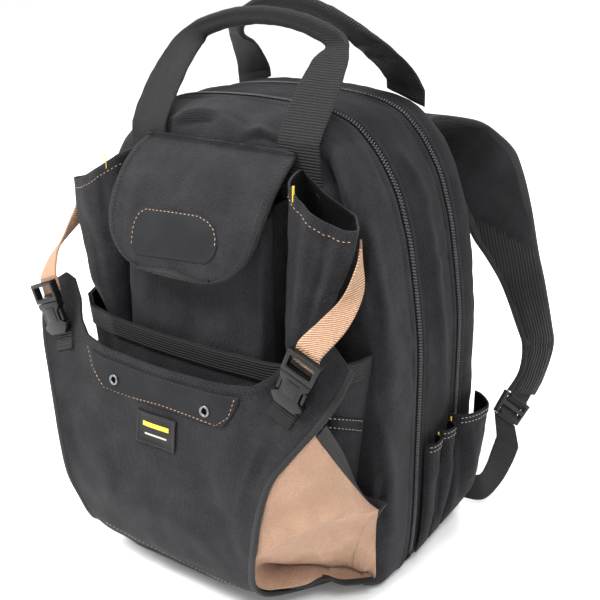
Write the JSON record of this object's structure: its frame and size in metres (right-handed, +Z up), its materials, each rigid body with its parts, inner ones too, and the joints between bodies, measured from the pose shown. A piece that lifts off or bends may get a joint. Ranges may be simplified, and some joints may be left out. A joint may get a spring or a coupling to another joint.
{
  "type": "tool backpack",
  "caption": "Black tool backpack with a large front pouch, tan side gussets, tan webbing with side-release buckles, carry handles and padded shoulder straps.",
  "frame": {"origin": "on the ground, under the middle of the bounding box of the whole bag with its straps", "axes": "+Z up, the pouch and flap face -Y, the shoulder straps are on the +Y side, +X is to the right of someone who faces the pouch"},
  "size_m": [0.4734, 0.4348, 0.5665],
  "materials": {
    "black_polyester": "coarse woven polyester, matt",
    "smooth_patch": "smooth coated cloth, low sheen",
    "black_webbing": "ribbed polypropylene webbing",
    "tan_polyester": "woven polyester, matt",
    "tan_webbing": "ribbed webbing",
    "padded_mesh": "padded cloth with mesh",
    "zipper_coil": "coil zipper",
    "black_plastic": "moulded acetal, soft gloss",
    "label_rubber": "moulded soft rubber, matt",
    "nickel": "nickel plated"
  },
  "bodies": {
    "root": {"front_shell": "black_polyester", "middle_shell": "black_polyester", "rear_shell": "black_polyester", "flap": "black_polyester", "flap_pocket": "black_polyester", "inner_pocket": "black_polyester", "pouch_panel": "black_polyester", "flap_patch": "smooth_patch", "pouch_patch": "smooth_patch", "label_patch": "label_rubber", "front_zipper": "zipper_coil", "rear_zipper": "zipper_coil", "front_zipper_slider": "black_plastic", "rear_zipper_slider": "black_plastic", "back_pad": "padded_mesh", "front_handle": "black_webbing", "rear_handle": "black_webbing", "inner_pocket_band": "black_webbing", "right_wing_pocket": "black_polyester", "left_wing_pocket": "black_polyester", "right_tool_pocket_1": "black_polyester", "left_tool_pocket_1": "black_polyester", "right_tool_pocket_2": "black_polyester", "left_tool_pocket_2": "black_polyester", "right_tool_pocket_3": "black_polyester", "left_tool_pocket_3": "black_polyester", "right_eyelet": "nickel", "left_eyelet": "nickel", "right_pouch_binding": "black_webbing", "left_pouch_binding": "black_webbing", "right_gusset_binding": "black_webbing", "left_gusset_binding": "black_webbing", "right_hem": "black_webbing", "left_hem": "black_webbing", "right_buckle_tab": "black_webbing", "left_buckle_tab": "black_webbing", "right_lower_webbing": "black_webbing", "left_lower_webbing": "black_webbing", "right_gusset": "tan_polyester", "left_gusset": "tan_polyester", "right_tan_strap": "tan_webbing", "left_tan_strap": "tan_webbing", "right_buckle_top": "black_plastic", "left_buckle_top": "black_plastic", "right_buckle_base": "black_plastic", "left_buckle_base": "black_plastic", "right_adjuster": "black_plastic", "left_adjuster": "black_plastic", "right_shoulder_strap": "padded_mesh", "left_shoulder_strap": "padded_mesh"}
  },
  "joints": []
}
